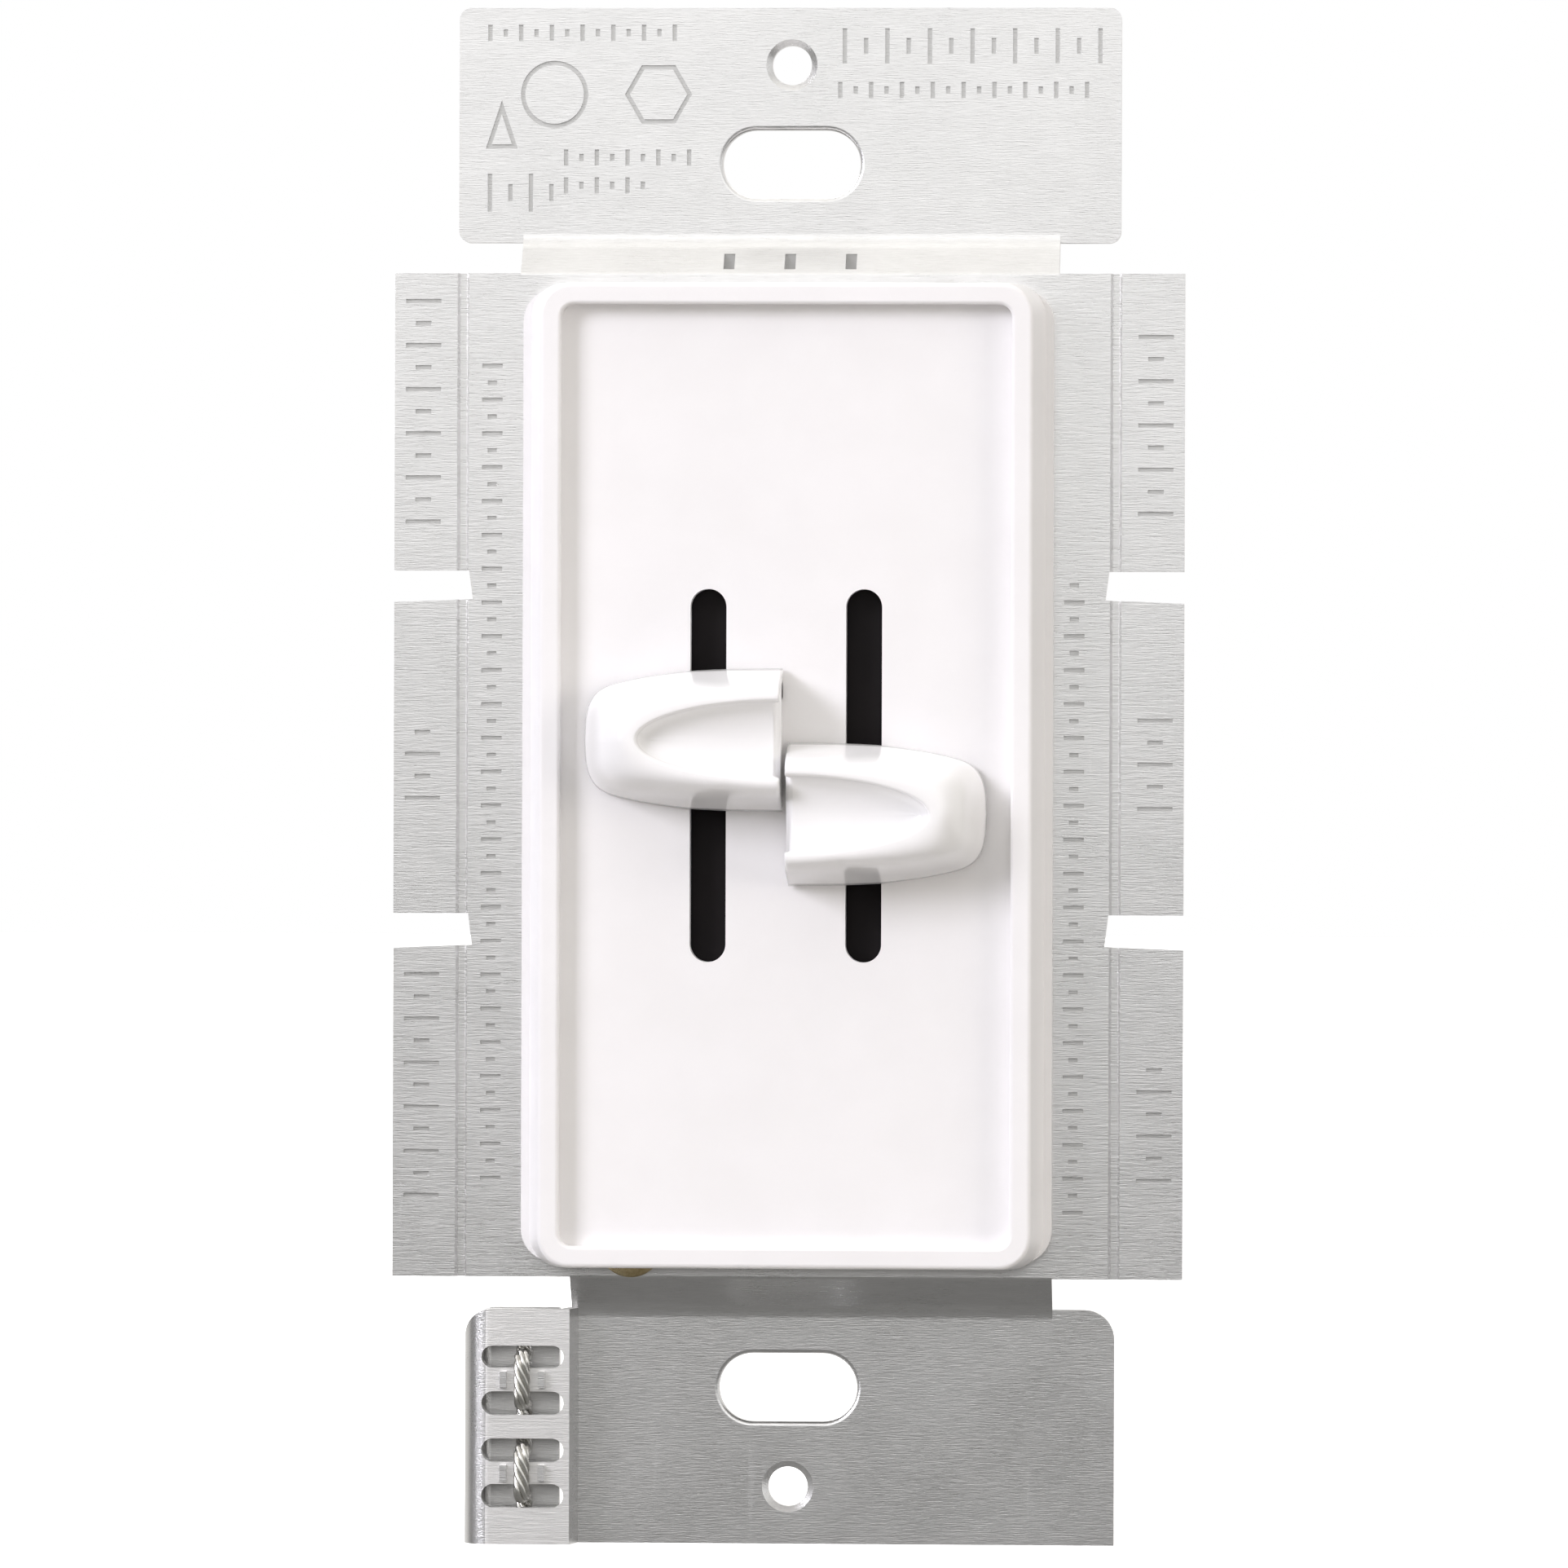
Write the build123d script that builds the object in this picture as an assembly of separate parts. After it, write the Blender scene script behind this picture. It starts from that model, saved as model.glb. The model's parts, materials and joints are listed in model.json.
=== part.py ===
"""Dual slide dimmer switch for a single-gang wall box, as separate parts.

Millimetres. +Z up, -Y towards the room, +X to the right of someone facing it.
The origin is midway between the two box-screw slots, on the plane where the
ears of the mounting strap rest against the wall.
"""
from build123d import *
import os

os.makedirs("parts", exist_ok=True)

# ---------------------------------------------------------------- driving dimensions
# Mounting strap: one sheet-metal stamping with a raised centre panel.
strap_t = 1.2            # sheet thickness
strap_half = 52.3        # centre to either end
ear_inner = 36.3         # where an ear ends and the step to the panel starts
panel_half = 34.1        # half the height of the raised panel
panel_half_w = 22.2      # centre to the score line of the break-off fins
fin_reach = 26.85        # centre to the outer edge of the fins
fin_gaps = ((11.7, 13.9), (-11.8, -9.4))   # the notches between the fins, in Z
notch_reach = 21.5       # how far in the notches cut
notch_taper = 0.25
score_w = 0.85
score_d = 0.5
ear_top_left = 22.7      # centre to the sides of the upper ear
ear_top_right = 22.45
ear_low_left = 22.0
ear_low_right = 22.2
neck_top = 18.3          # half width of the upper neck
neck_low_right = 18.0
bend_r = 1.5             # inside radius of the bend at each ear
crease_r = 0.3           # both radii of the coined crease where a step meets the panel
top_ear_r = 0.8
low_ear_r = 2.0

box_pitch = 83.34        # the two box screws, 3.281 in
box_slot_len = 9.4
box_slot_w = 4.65
plate_pitch = 96.82      # the two wall-plate screws, 3.812 in
plate_hole_r = 1.35      # tapped for a 6-32 screw
plate_sink_r = 1.75
plate_sink_d = 0.35
edge_roll = 0.3          # rounded shearing edge of the slots

notch_x = 4.15           # three small blind notches pressed into the upper step
notch_w = 0.75
notch_z = (34.4, 35.5)
notch_floor = 0.45       # the notches' floor, behind the back of the raised panel

# Ground-wire clamp: the left of the lower ear is joggled forward and hemmed behind.
flap_x = -14.75          # where the joggle ends and the raised part starts
flap_run = 0.45          # width of the joggle
hem_end = -15.6
lace_x = -17.95          # centre line of the laced wire
lace_slots = ((-38.8, -40.3), (-41.9, -43.5), (-45.1, -46.7), (-48.2, -49.8))
lace_half = 2.8          # half the length of a lacing slot
wire_d = 1.1
hem_play = 0.1           # room for the wire between the flap and its hem
wire_bend = 0.85
stake_gap = 0.75         # from the wire to the stakes beside it
stake_size = 0.45

# Bezel: a white frame with a recessed face and two slots.
flange_w = 36.0
flange_h = 66.0
flange_t = 1.2
rim_w = 33.3             # front of the rim, fits a decorator opening
rim_h = 66.6
rim_foot_w = 34.9        # rim where it meets the flange
rim_foot_h = 66.8
rim_rise = 3.1           # from the flange to the front of the rim
bezel_r = 2.2            # outer corners
recess_w = 30.5
recess_h = 63.7
recess_d = 1.4
recess_r = 0.9
face_t = 1.5             # thickness of the recessed face
bezel_wall = 1.5
post_r = 1.4             # heat-staked posts
post_hole_gap = 0.15
post_head_r = 2.1
post_head_t = 0.8
posts = ((-12.7, 4.0), (12.7, 4.0), (-12.7, -20.0), (12.7, -20.0))

# Sliders.
slider_x = 5.27          # centre line of each slot
slot_w = 2.44
slot_len = 25.25
slot_end_gap = 0.325     # blade to the end of the slot at either limit
rest_z = {"left": 2.4, "right": -2.6}
blade_w = 1.6
blade_len = 3.0
blade_in_knob = 2.6
knob_gap = 0.3           # knob above the recessed face
knob_inner = 0.2         # flat end of a knob to the centre line
knob_outer = 13.65
knob_h = 9.7
knob_rise = 4.9
knob_tip_h = 6.8         # height of the rounded end
knob_corner_r = 1.9
knob_edge_r = 0.45       # round edge of the crown
knob_flank = 1.7         # how far the flanks lean in from base to crown
scoop_h = 5.1
scoop_len = 9.7
scoop_d = 1.7
prong = 0.4              # the scooped part of the flat end stands back this far

shield_w = 5.0
shield_t = 0.35
shield_end_gap = 1.0     # shield to the bezel's end wall at either limit
liner_w = 20.6
liner_h = 33.0
liner_t = 0.65
liner_slit_gap = 0.25

# Slide controls behind the strap.
case_w = 8.6
case_wall = 0.9
case_top = 0.15          # gap between the strap and the case
case_depth = 7.9
case_slit_gap = 0.4
board_t = 0.8            # resistive track board
carriage_gap = 0.3
carriage_half = 4.0
carriage_t = 3.0
wiper_t = 0.25
wiper_gap = 0.15
pin_r = 0.35
pin_z = (-14.5, 0.0, 14.5)
leaf_t = 0.3
leaf_w = 3.0
leaf_gap = 0.3           # leaf to the carriage at the lower end of its travel
contact_gap = 0.8
switch_room = 0.6        # behind the fixed contact
window_w = 5.0           # openings in the strap for the blades
window_half = 15.0

# Power parts.
triac_x = 14.75
triac_top = 26.8
triac_w = 10.0
triac_tab_len = 6.3
triac_tab_t = 1.3
triac_body_len = 8.9
triac_body_t = 4.5
triac_hole = 2.8         # hole centre below the tab's end
triac_hole_r = 1.8
pad_t = 0.25
pad_margin = 0.1
lead_pitch = 2.54
lead_w = 0.8
lead_t = 0.5
lead_drop = 2.2
rivet_shank = 1.0
rivet_head_r = 2.2
rivet_head_t = 0.7
rivet_tail_t = 0.7
pocket_gap = 0.3

board_front = 11.0       # circuit board, distance behind the wall plane
pcb_t = 1.6
pcb_gap = 0.3
pcb_hole_r = 0.55
pin_tail = 0.3           # leads and pins stand this far through the board

core_r = 8.0
core_bore = 4.0
core_h = 7.0
winding_t = 0.8
choke_x = 9.0
choke_pitch = 2.6
choke_z = -17.6
choke_turns = 18
play = 0.05              # between the core and its wire
cap_size = (15.5, 11.0, 8.0)     # film capacitor, x y z
cap_at = (8.4, 20.2)
cap_pitch = 12.5
timing_size = (10.5, 8.0, 5.0)
timing_at = (9.7, 13.2)
timing_pitch = 7.5
lead_r = 0.3
resistor_r = 1.5
resistor_len = 7.0
resistor_z = (8.4, 4.4)
diac_r = 1.0
diac_len = 4.2
diac_z = 0.9
axial_pitch = 10.8       # between the bent leads of an axial part
stand_off = 0.4

# Back cover.
cover_w = 42.4
cover_h = 58.0
cover_r = 2.5
cover_gap = 1.4          # behind the film capacitors, the tallest parts
cover_wall = 1.3
cover_step = 1.2         # the box steps in by this much on each side
cover_step_y = 4.5       # behind the triacs
cover_edge_r = 1.5
shelf = 3.4              # corner shelves under the circuit board
lug_w = 7.0
lug_t = 1.6
lug_end = 32.8           # the lugs stop short of the bend in the strap
outlet_x = 9.0           # two oblong outlets, each for two leads
outlet_len = 13.0
outlet_w = 5.0
outlet_collar = 1.1
outlet_proud = 0.8       # the collars stand out from the back
eyelet_r = 1.3
eyelet_bore = 0.65
eyelet_wall = 0.3
eyelet_x = (-13.5, -4.5, 4.5, 13.5)
eyelet_z = -4.0          # the leads run straight back from here through the outlets
case_rivets = ((-10.6, -31.9), (10.6, 31.0))

# Stamped marks: plain ticks, two plain outlines and an arrow head.
mark_d = 0.2
mark_w = 0.3

# ---------------------------------------------------------------- derived places
panel_rise = strap_t + wire_d + hem_play   # the panel and the flap stand this far forward
ear_front = -strap_t
panel_back = -panel_rise
panel_front = -panel_rise - strap_t
flange_front = panel_front - flange_t
rim_front = flange_front - rim_rise
face_front = rim_front + recess_d
face_back = face_front + face_t
knob_base = face_front - knob_gap
knob_top = knob_base - knob_rise
case_front = panel_back + case_top
case_back = case_front + case_depth
board_back = board_front + pcb_t
cover_inner = board_back + stand_off + cap_size[1] + cover_gap
cover_back = cover_inner + cover_wall
travel_half = (slot_len - blade_len) / 2 - slot_end_gap   # each side of the slot's middle
bezel_inner_h = rim_foot_h - 2 * bezel_wall - (rim_foot_h - rim_h)
shield_half = bezel_inner_h / 2 - travel_half - shield_end_gap
switch_run = leaf_gap + 2 * leaf_t + contact_gap + switch_room
case_half = travel_half + carriage_half + switch_run + case_wall
shield_back = face_back + 0.2 + shield_t
sides = {"left": -1, "right": 1}


# ---------------------------------------------------------------- small helpers
def block(x0, x1, y0, y1, z0, z1):
    """A box between two corners."""
    return Pos((x0 + x1) / 2, (y0 + y1) / 2, (z0 + z1) / 2) * Box(x1 - x0, y1 - y0, z1 - z0)


def layer(outline, back, front):
    """An outline drawn in X and Z, made solid from y = back forward to y = front."""
    return extrude(Plane.XZ.offset(-back) * outline, amount=back - front)


def at(x, z, outline):
    """An outline moved to x, z."""
    return Pos(x, z) * outline


def rod(x, z, r, back, front):
    """A round bar along Y."""
    return layer(at(x, z, Circle(r)), back, front)


def rect(x0, x1, z0, z1):
    """A plain rectangle outline in X and Z."""
    return at((x0 + x1) / 2, (z0 + z1) / 2, Rectangle(x1 - x0, z1 - z0))


def save(name, shape):
    """Write one sub-part to its own file."""
    export_step(shape, f"parts/{name}.step")


# ---------------------------------------------------------------- mounting strap
def bent_sheet():
    """The strap's side profile, full width: ear, step, raised panel, step, ear."""
    run = ear_inner - panel_half
    slant = (run * run + panel_rise * panel_rise) ** 0.5
    shift = strap_t * (slant - run) / panel_rise
    ear_back_r = bend_r + strap_t
    corners = [(0, ear_inner), (-panel_rise, panel_half), (-panel_rise, -panel_half), (0, -ear_inner)]

    def line(offset, lift, radii):
        low = [(y + offset, z - lift if z > 0 else z + lift) for y, z in corners]
        ends = [(offset, strap_half)] + low + [(offset, -strap_half)]
        return FilletPolyline(*ends, radius=radii)

    front = line(ear_front, 0, [bend_r, crease_r, crease_r, bend_r])
    back = line(0, shift, [ear_back_r, crease_r, crease_r, ear_back_r])
    profile = make_face([front, back, Line(front @ 0, back @ 0), Line(front @ 1, back @ 1)])
    return extrude(Plane.YZ * profile, amount=fin_reach, both=True)


def ear_outlines():
    """Both ears seen from the front, without the ground-wire flap."""
    top = rect(-ear_top_left, ear_top_right, ear_inner, strap_half)
    top = fillet(top.vertices(), top_ear_r)
    low = rect(flap_x + flap_run, ear_low_right, -strap_half, -ear_inner)
    low = fillet(low.vertices().sort_by(Axis.X)[2:].sort_by(Axis.Y)[-1:], low_ear_r)
    return top + low


def panel_outline():
    """The raised panel with its break-off fins, seen from the front."""
    panel = rect(-fin_reach, fin_reach, -panel_half, panel_half)
    for low_z, high_z in fin_gaps:
        for side in (-1, 1):
            notch = [
                (side * (fin_reach + 1), low_z),
                (side * notch_reach, low_z + notch_taper),
                (side * (notch_reach + notch_taper), high_z),
                (side * (fin_reach + 1), high_z),
            ]
            panel -= make_face(Polyline(*notch, close=True))
    return panel


def strap_blank():
    """The stamped sheet. It bends across the necks; beside them ears and fins are flat."""
    ears, panel = ear_outlines(), panel_outline()
    column = rect(-neck_top, neck_top, 0, strap_half + 1)
    column += rect(flap_x, neck_low_right, -strap_half - 1, 0)
    necks = rect(-neck_top, neck_top, panel_half - 1, ear_inner + 1)
    necks += rect(flap_x, neck_low_right, -ear_inner - 1, -panel_half + 1)
    blank = bent_sheet() & layer((ears + panel + necks) & column, 1, panel_front - 1)
    blank += layer(ears - column, 0, ear_front)
    return blank + layer(panel - column, panel_back, panel_front)


def score_lines():
    """A shallow vee along each side where the fins snap off."""
    cuts = []
    for side in (-1, 1):
        vee = [
            (side * (panel_half_w - score_w / 2), panel_front - 0.1),
            (side * (panel_half_w - score_w / 4), panel_front + score_d),
            (side * (panel_half_w + score_w / 4), panel_front + score_d),
            (side * (panel_half_w + score_w / 2), panel_front - 0.1),
        ]
        cuts.append(extrude(make_face(Polyline(*vee, close=True)), amount=panel_half, both=True))
    return cuts


def ground_flap():
    """The raised, hemmed strip of the lower ear that clamps the ground wire."""
    mid = -(panel_rise + strap_t) / 2
    hem_r = (panel_rise + strap_t) / 2
    left = -ear_low_left + hem_r
    joggle = flap_x + flap_run
    far = joggle + 1.0
    outer = make_face(
        [
            Line((hem_end, 0), (left, 0)),
            ThreePointArc((left, 0), (left - hem_r, mid), (left, 2 * mid)),
            Line((left, 2 * mid), (flap_x, panel_front)),
            Line((flap_x, panel_front), (joggle, ear_front)),
            Line((joggle, ear_front), (far, ear_front)),
            Line((far, ear_front), (far, 0)),
            Line((far, 0), (joggle - strap_t / 2, 0)),
            Line((joggle - strap_t / 2, 0), (flap_x - strap_t / 2, panel_back)),
            Line((flap_x - strap_t / 2, panel_back), (left, panel_back)),
            ThreePointArc((left, panel_back), (left - hem_r + strap_t, mid), (left, ear_front)),
            Line((left, ear_front), (hem_end, ear_front)),
            Line((hem_end, ear_front), (hem_end, 0)),
        ]
    )
    strip = Pos(0, 0, -ear_inner) * extrude(outer, amount=-(strap_half - ear_inner))
    keep = rect(-ear_low_left, far, -strap_half, -ear_inner)
    keep = fillet(keep.vertices().sort_by(Axis.X)[:2].sort_by(Axis.Y)[-1:], low_ear_r)
    strip &= layer(keep, 1, panel_front - 1)
    for high_z, low_z in lace_slots:
        slot = at(lace_x, (high_z + low_z) / 2, SlotOverall(2 * lace_half, high_z - low_z))
        strip -= layer(slot, panel_back + 0.6, panel_front - 1)
    for upper, lower in (lace_slots[0:2], lace_slots[2:4]):
        z = (upper[1] + lower[0]) / 2
        for side in (-1, 1):
            x = lace_x + side * (wire_d / 2 + stake_gap)
            size = stake_size
            stake = block(x - size / 2, x + size / 2, panel_front - size, panel_front + 0.2, z - 0.55, z + 0.55)
            strip += stake
    return strip


def tick_row(x, z, length, tall, pitch, upright=False):
    """A line of plain stamped ticks, running in X, or up in Z when upright."""
    count = int(length / pitch)
    ticks = Sketch()
    for i in range(count + 1):
        size = tall if i % 2 == 0 else tall * 0.45
        along = i * pitch
        if upright:
            ticks += at(x, z + along, Rectangle(size, mark_w))
        else:
            ticks += at(x + along, z, Rectangle(mark_w, size))
    return ticks


def ring(x, z, outer):
    """A thin outline of any plain shape."""
    return at(x, z, outer - offset(outer, -mark_w, kind=Kind.INTERSECTION))


def ear_marks():
    """Marks on the upper ear, seen from the front."""
    arrow = Polyline((-1.1, -1.6), (0, 1.7), (1.1, -1.6), close=True)
    marks = ring(-19.8, 44.3, make_face(arrow))
    marks += ring(-16.2, 46.4, Circle(2.3))
    marks += ring(-9.1, 46.4, RegularPolygon(2.3, 6))
    marks += tick_row(-20.6, 50.6, 13.0, 1.1, 1.05)
    marks += tick_row(-15.4, 42.1, 8.4, 1.1, 1.05)
    marks += tick_row(-15.4, 40.2, 5.6, 1.1, 1.05)
    marks += tick_row(-20.6, 39.7, 4.2, 2.6, 1.4)
    marks += tick_row(3.6, 49.7, 17.4, 2.4, 1.45)
    marks += tick_row(3.3, 46.7, 17.8, 1.1, 1.05)
    return marks


def panel_marks():
    """Marks on the fins and on the panel beside the bezel."""
    marks = tick_row(-24.9, 17.2, 15.6, 2.4, 1.5, True)
    marks += tick_row(-24.9, -1.6, 4.6, 2.4, 1.5, True)
    marks += tick_row(-24.9, -28.6, 15.4, 2.4, 1.5, True)
    marks += tick_row(24.9, 17.8, 12.4, 2.4, 1.5, True)
    marks += tick_row(24.9, -2.2, 6.2, 2.4, 1.5, True)
    marks += tick_row(24.9, -27.4, 7.8, 2.4, 1.5, True)
    marks += tick_row(-20.2, -27.4, 55.5, 1.4, 1.15, True)
    marks += tick_row(19.4, -29.6, 43.0, 1.4, 1.15, True)
    return marks


def mounting_strap():
    """The aluminium strap that carries everything and cools the triacs."""
    strap = strap_blank() + ground_flap()
    cuts = score_lines()
    for z in (-box_pitch / 2, box_pitch / 2):
        cuts.append(layer(at(0, z, SlotOverall(box_slot_len, box_slot_w)), 1, ear_front - 1))
    for z in (-plate_pitch / 2, plate_pitch / 2):
        cuts.append(rod(0, z, plate_hole_r, 1, ear_front - 1))
        cuts.append(
            Pos(0, ear_front + plate_sink_d / 2, z) * Rot(90, 0, 0)
            * Cone(plate_hole_r, plate_sink_r, plate_sink_d)
        )
    for x in (-notch_x, 0, notch_x):
        notch = rect(x - notch_w / 2, x + notch_w / 2, *notch_z)
        cuts.append(layer(notch, panel_back + notch_floor, panel_front - 1))
    for side in sides.values():
        window = at(side * slider_x, 0, RectangleRounded(window_w, 2 * window_half, 1.0))
        cuts.append(layer(window, 1, panel_front - 1))
        cuts.append(rod(side * triac_x, triac_top - triac_hole, rivet_shank, 1, panel_front - 1))
    for x, z in posts:
        cuts.append(rod(x, z, post_r + post_hole_gap, 1, panel_front - 1))
    for x, z in case_rivets:
        cuts.append(rod(x, z, rivet_shank, 1, panel_front - 1))
    strap -= cuts
    slots = strap.edges().filter_by(lambda e: abs(e.center().Y - ear_front) < 1e-3)
    slots = slots.filter_by(lambda e: abs(abs(e.center().Z) - box_pitch / 2) < box_slot_w / 2 + 0.01)
    slots = slots.filter_by(lambda e: abs(e.center().X) < box_slot_len / 2)
    strap = fillet(slots, edge_roll)
    strap -= layer(ear_marks(), ear_front + mark_d, ear_front - 1)
    strap -= layer(panel_marks(), panel_front + mark_d, panel_front - 1)
    return strap


def ground_wire():
    """The bare ground conductor, laced over and under the bridges of the flap."""
    behind = panel_back + wire_d / 2 + 0.03
    before = panel_front - wire_d / 2 - 0.03
    middles = [(high_z + low_z) / 2 for high_z, low_z in lace_slots]
    points = [(lace_x, behind, -ear_inner - 0.4)]
    level = [behind, before]
    for i, z in enumerate(middles):
        points.append((lace_x, level[i % 2], z))
        points.append((lace_x, level[(i + 1) % 2], z))
    points.append((lace_x, behind, -strap_half + 0.5))
    path = FilletPolyline(*points, radius=wire_bend)
    section = Plane(origin=path @ 0, z_dir=path % 0) * Circle(wire_d / 2)
    return sweep(section, path)


# ---------------------------------------------------------------- bezel
def bezel():
    """The white frame: flange, drafted rim, recessed face, slots and staked posts."""
    flange = layer(RectangleRounded(flange_w, flange_h, bezel_r), panel_front, flange_front)
    foot = Plane.XZ.offset(-panel_front) * RectangleRounded(rim_foot_w, rim_foot_h, bezel_r + 0.1)
    foot_front = Plane.XZ.offset(-flange_front) * RectangleRounded(rim_foot_w, rim_foot_h, bezel_r + 0.1)
    front = Plane.XZ.offset(-rim_front) * RectangleRounded(rim_w, rim_h, bezel_r)
    body = flange + extrude(foot, amount=flange_t) + loft([foot_front, front])
    rim_edges = body.faces().sort_by(Axis.Y)[0].edges()
    body = fillet(rim_edges, 0.35)
    body -= layer(RectangleRounded(recess_w, recess_h, recess_r), face_front, rim_front - 1)
    mouth = body.edges().filter_by(lambda e: abs(e.center().Y - rim_front) < 1e-3)
    mouth = mouth.filter_by(lambda e: abs(e.center().X) <= recess_w / 2 + 0.01)
    mouth = mouth.filter_by(lambda e: abs(e.center().Z) <= recess_h / 2 + 0.01)
    body = fillet(mouth, 0.25)
    inner_w = rim_foot_w - 2 * (bezel_wall + (rim_foot_w - rim_w) / 2)
    body -= layer(RectangleRounded(inner_w, bezel_inner_h, recess_r), panel_front + 1, face_back)
    for x, z in posts:
        body += rod(x, z, post_r, panel_back, face_back - 0.5)
        body += rod(x, z, post_head_r, panel_back + post_head_t, panel_back)
    for side in sides.values():
        body -= layer(at(side * slider_x, 0, SlotOverall(slot_len, slot_w, 90)), face_back + 1, face_front - 1)
    pockets = [(side * triac_x, triac_top - triac_hole) for side in sides.values()]
    for x, z in pockets + list(case_rivets):
        body -= rod(x, z, rivet_head_r + pocket_gap, panel_front + 1, panel_front - rivet_head_t - 0.2)
    return body


def slot_liner():
    """A black plate behind the slots, with a slit for each blade."""
    front = panel_front - liner_t
    plate = layer(RectangleRounded(liner_w, liner_h, 1.0), panel_front, front)
    slit_len = 2 * travel_half + blade_len + 2 * liner_slit_gap
    for side in sides.values():
        slit = at(side * slider_x, 0, Rectangle(blade_w + 2 * liner_slit_gap, slit_len))
        plate -= layer(slit, panel_front + 1, front - 1)
    return plate


# ---------------------------------------------------------------- sliders
def knob_plan(inset):
    """The thumb tab seen from the front: flat at the centre line, rounded outside."""
    near = knob_inner + inset * 0.1
    far = knob_outer - inset
    half = knob_h / 2 - inset
    tip = knob_tip_h / 2 - inset * 0.9
    belly = near + (far - near) * 0.55
    bulge = tip + (half - tip) * 0.8
    shoulder = far - 0.25
    outline = make_face(
        [
            ThreePointArc((near, half), (belly, bulge), (shoulder, tip)),
            ThreePointArc((shoulder, tip), (far, 0), (shoulder, -tip)),
            ThreePointArc((shoulder, -tip), (belly, -bulge), (near, -half)),
            Line((near, -half), (near, half)),
        ]
    )
    return fillet(outline.vertices().sort_by(Axis.X)[2:], min(knob_corner_r, tip * 0.8))


def slider_knob(side, z):
    """A glossy thumb tab with a scoop that opens at its flat end."""
    base = Plane.XZ.offset(-knob_base) * knob_plan(0)
    crown = Plane.XZ.offset(-knob_top) * knob_plan(knob_flank)
    knob = loft([base, crown])
    knob = fillet(knob.faces().sort_by(Axis.Y)[0].edges(), knob_edge_r)
    scoop = Pos(knob_inner - 0.5, knob_top, 0) * scale(Sphere(1), (scoop_len + 0.5, scoop_d, scoop_h / 2))
    knob -= scoop
    knob -= block(knob_inner - 1, knob_inner + prong, knob_top - 1, knob_base + 1, -scoop_h / 2, scoop_h / 2)
    socket = block(
        slider_x - blade_w / 2, slider_x + blade_w / 2,
        knob_base - blade_in_knob, knob_base + 1, -blade_len / 2, blade_len / 2,
    )
    knob -= socket
    if side < 0:
        knob = mirror(knob, Plane.YZ)
    return Pos(0, 0, z) * knob


def slider_lever(side, z):
    """The carriage of a slide control with the blade that its knob presses on to."""
    x = side * slider_x
    half_w = case_w / 2 - case_wall - carriage_gap
    top = case_front + case_wall + carriage_gap
    carriage = block(x - half_w, x + half_w, top, top + carriage_t, z - carriage_half, z + carriage_half)
    blade = block(
        x - blade_w / 2, x + blade_w / 2,
        knob_base - blade_in_knob, top + 0.5, z - blade_len / 2, z + blade_len / 2,
    )
    return carriage + blade


def dust_shield(side, z):
    """A black strip that rides on the blade and keeps the slot closed."""
    x = side * slider_x
    strip = block(
        x - shield_w / 2, x + shield_w / 2,
        shield_back - shield_t, shield_back, z - shield_half, z + shield_half,
    )
    return strip - block(
        x - blade_w / 2, x + blade_w / 2,
        face_back - 1, panel_front + 1, z - blade_len / 2, z + blade_len / 2,
    )


def wiper_spring(side, z):
    """Two bowed bronze fingers under the carriage that run on the track."""
    x = side * slider_x
    root = case_front + case_wall + carriage_gap + carriage_t
    track = case_back - board_t - wiper_gap
    drop = track - root
    bow = [(0, 0), (3.4, 0), (3.4, wiper_t), (1.2, wiper_t), (-2.6, drop), (-3.4, drop - 0.4)]
    bow += [(-3.2, drop - 0.6), (-2.6, drop - wiper_t - 0.1), (-0.4, wiper_t * 0.4)]
    outline = Polyline(*[(root + d, a) for a, d in bow], close=True)
    finger = extrude(Plane.YZ * make_face(outline), amount=0.5, both=True)
    plate = block(x - 2.2, x + 2.2, root, root + wiper_t, z + 1.4, z + 3.4)
    return plate + Pos(x - 1.5, 0, z) * finger + Pos(x + 1.5, 0, z) * finger


# ---------------------------------------------------------------- slide controls
def slide_case(side):
    """The channel that guides the carriage, open at the back for the track board."""
    x = side * slider_x
    outer = block(x - case_w / 2, x + case_w / 2, case_front, case_back, -case_half, case_half)
    inner_w = case_w / 2 - case_wall
    cavity = block(
        x - inner_w, x + inner_w,
        case_front + case_wall, case_back + 1, -case_half + case_wall, case_half - case_wall,
    )
    slit_half = travel_half + blade_len / 2 + case_slit_gap
    slit_w = blade_w / 2 + case_slit_gap
    slit = block(x - slit_w, x + slit_w, case_front - 1, case_front + case_wall + 1, -slit_half, slit_half)
    return outer - cavity - slit


def resistive_track(side):
    """The track board that closes the back of the case, with two raised carbon tracks."""
    x = side * slider_x
    half_w = case_w / 2 - case_wall - 0.05
    half = case_half - case_wall - 0.05
    front = case_back - board_t
    board = block(x - half_w, x + half_w, front, case_back, -half, half)
    for z in pin_z:
        board -= rod(x, z, pin_r, case_back + 1, front - 1)
    for dx in (-1.5, 1.5):
        board += block(x + dx - 0.6, x + dx + 0.6, front - 0.06, front + 0.1, -half + 2.6, half - 0.8)
    return board


def track_pins(side):
    """Three pins from the track board to the circuit board."""
    x = side * slider_x
    return Compound([rod(x, z, pin_r, board_back + pin_tail, case_back - board_t) for z in pin_z])


def off_switch(side, moving):
    """The slide-to-off contacts below the carriage: a bent leaf and a fixed blade."""
    x = side * slider_x
    z = -travel_half - carriage_half - leaf_gap - leaf_t
    if not moving:
        z -= contact_gap + leaf_t
    foot = case_back - board_t
    tip = case_front + case_wall + 1.0
    upright = block(x - leaf_w / 2, x + leaf_w / 2, tip, foot, z, z + leaf_t)
    button = rod(0, 0, 0.55, 0.25, 0)
    where = z if moving else z + leaf_t
    turn = Rot(90, 0, 0) if moving else Rot(-90, 0, 0)
    return upright + Pos(x, tip + 0.9, where) * turn * button


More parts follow.
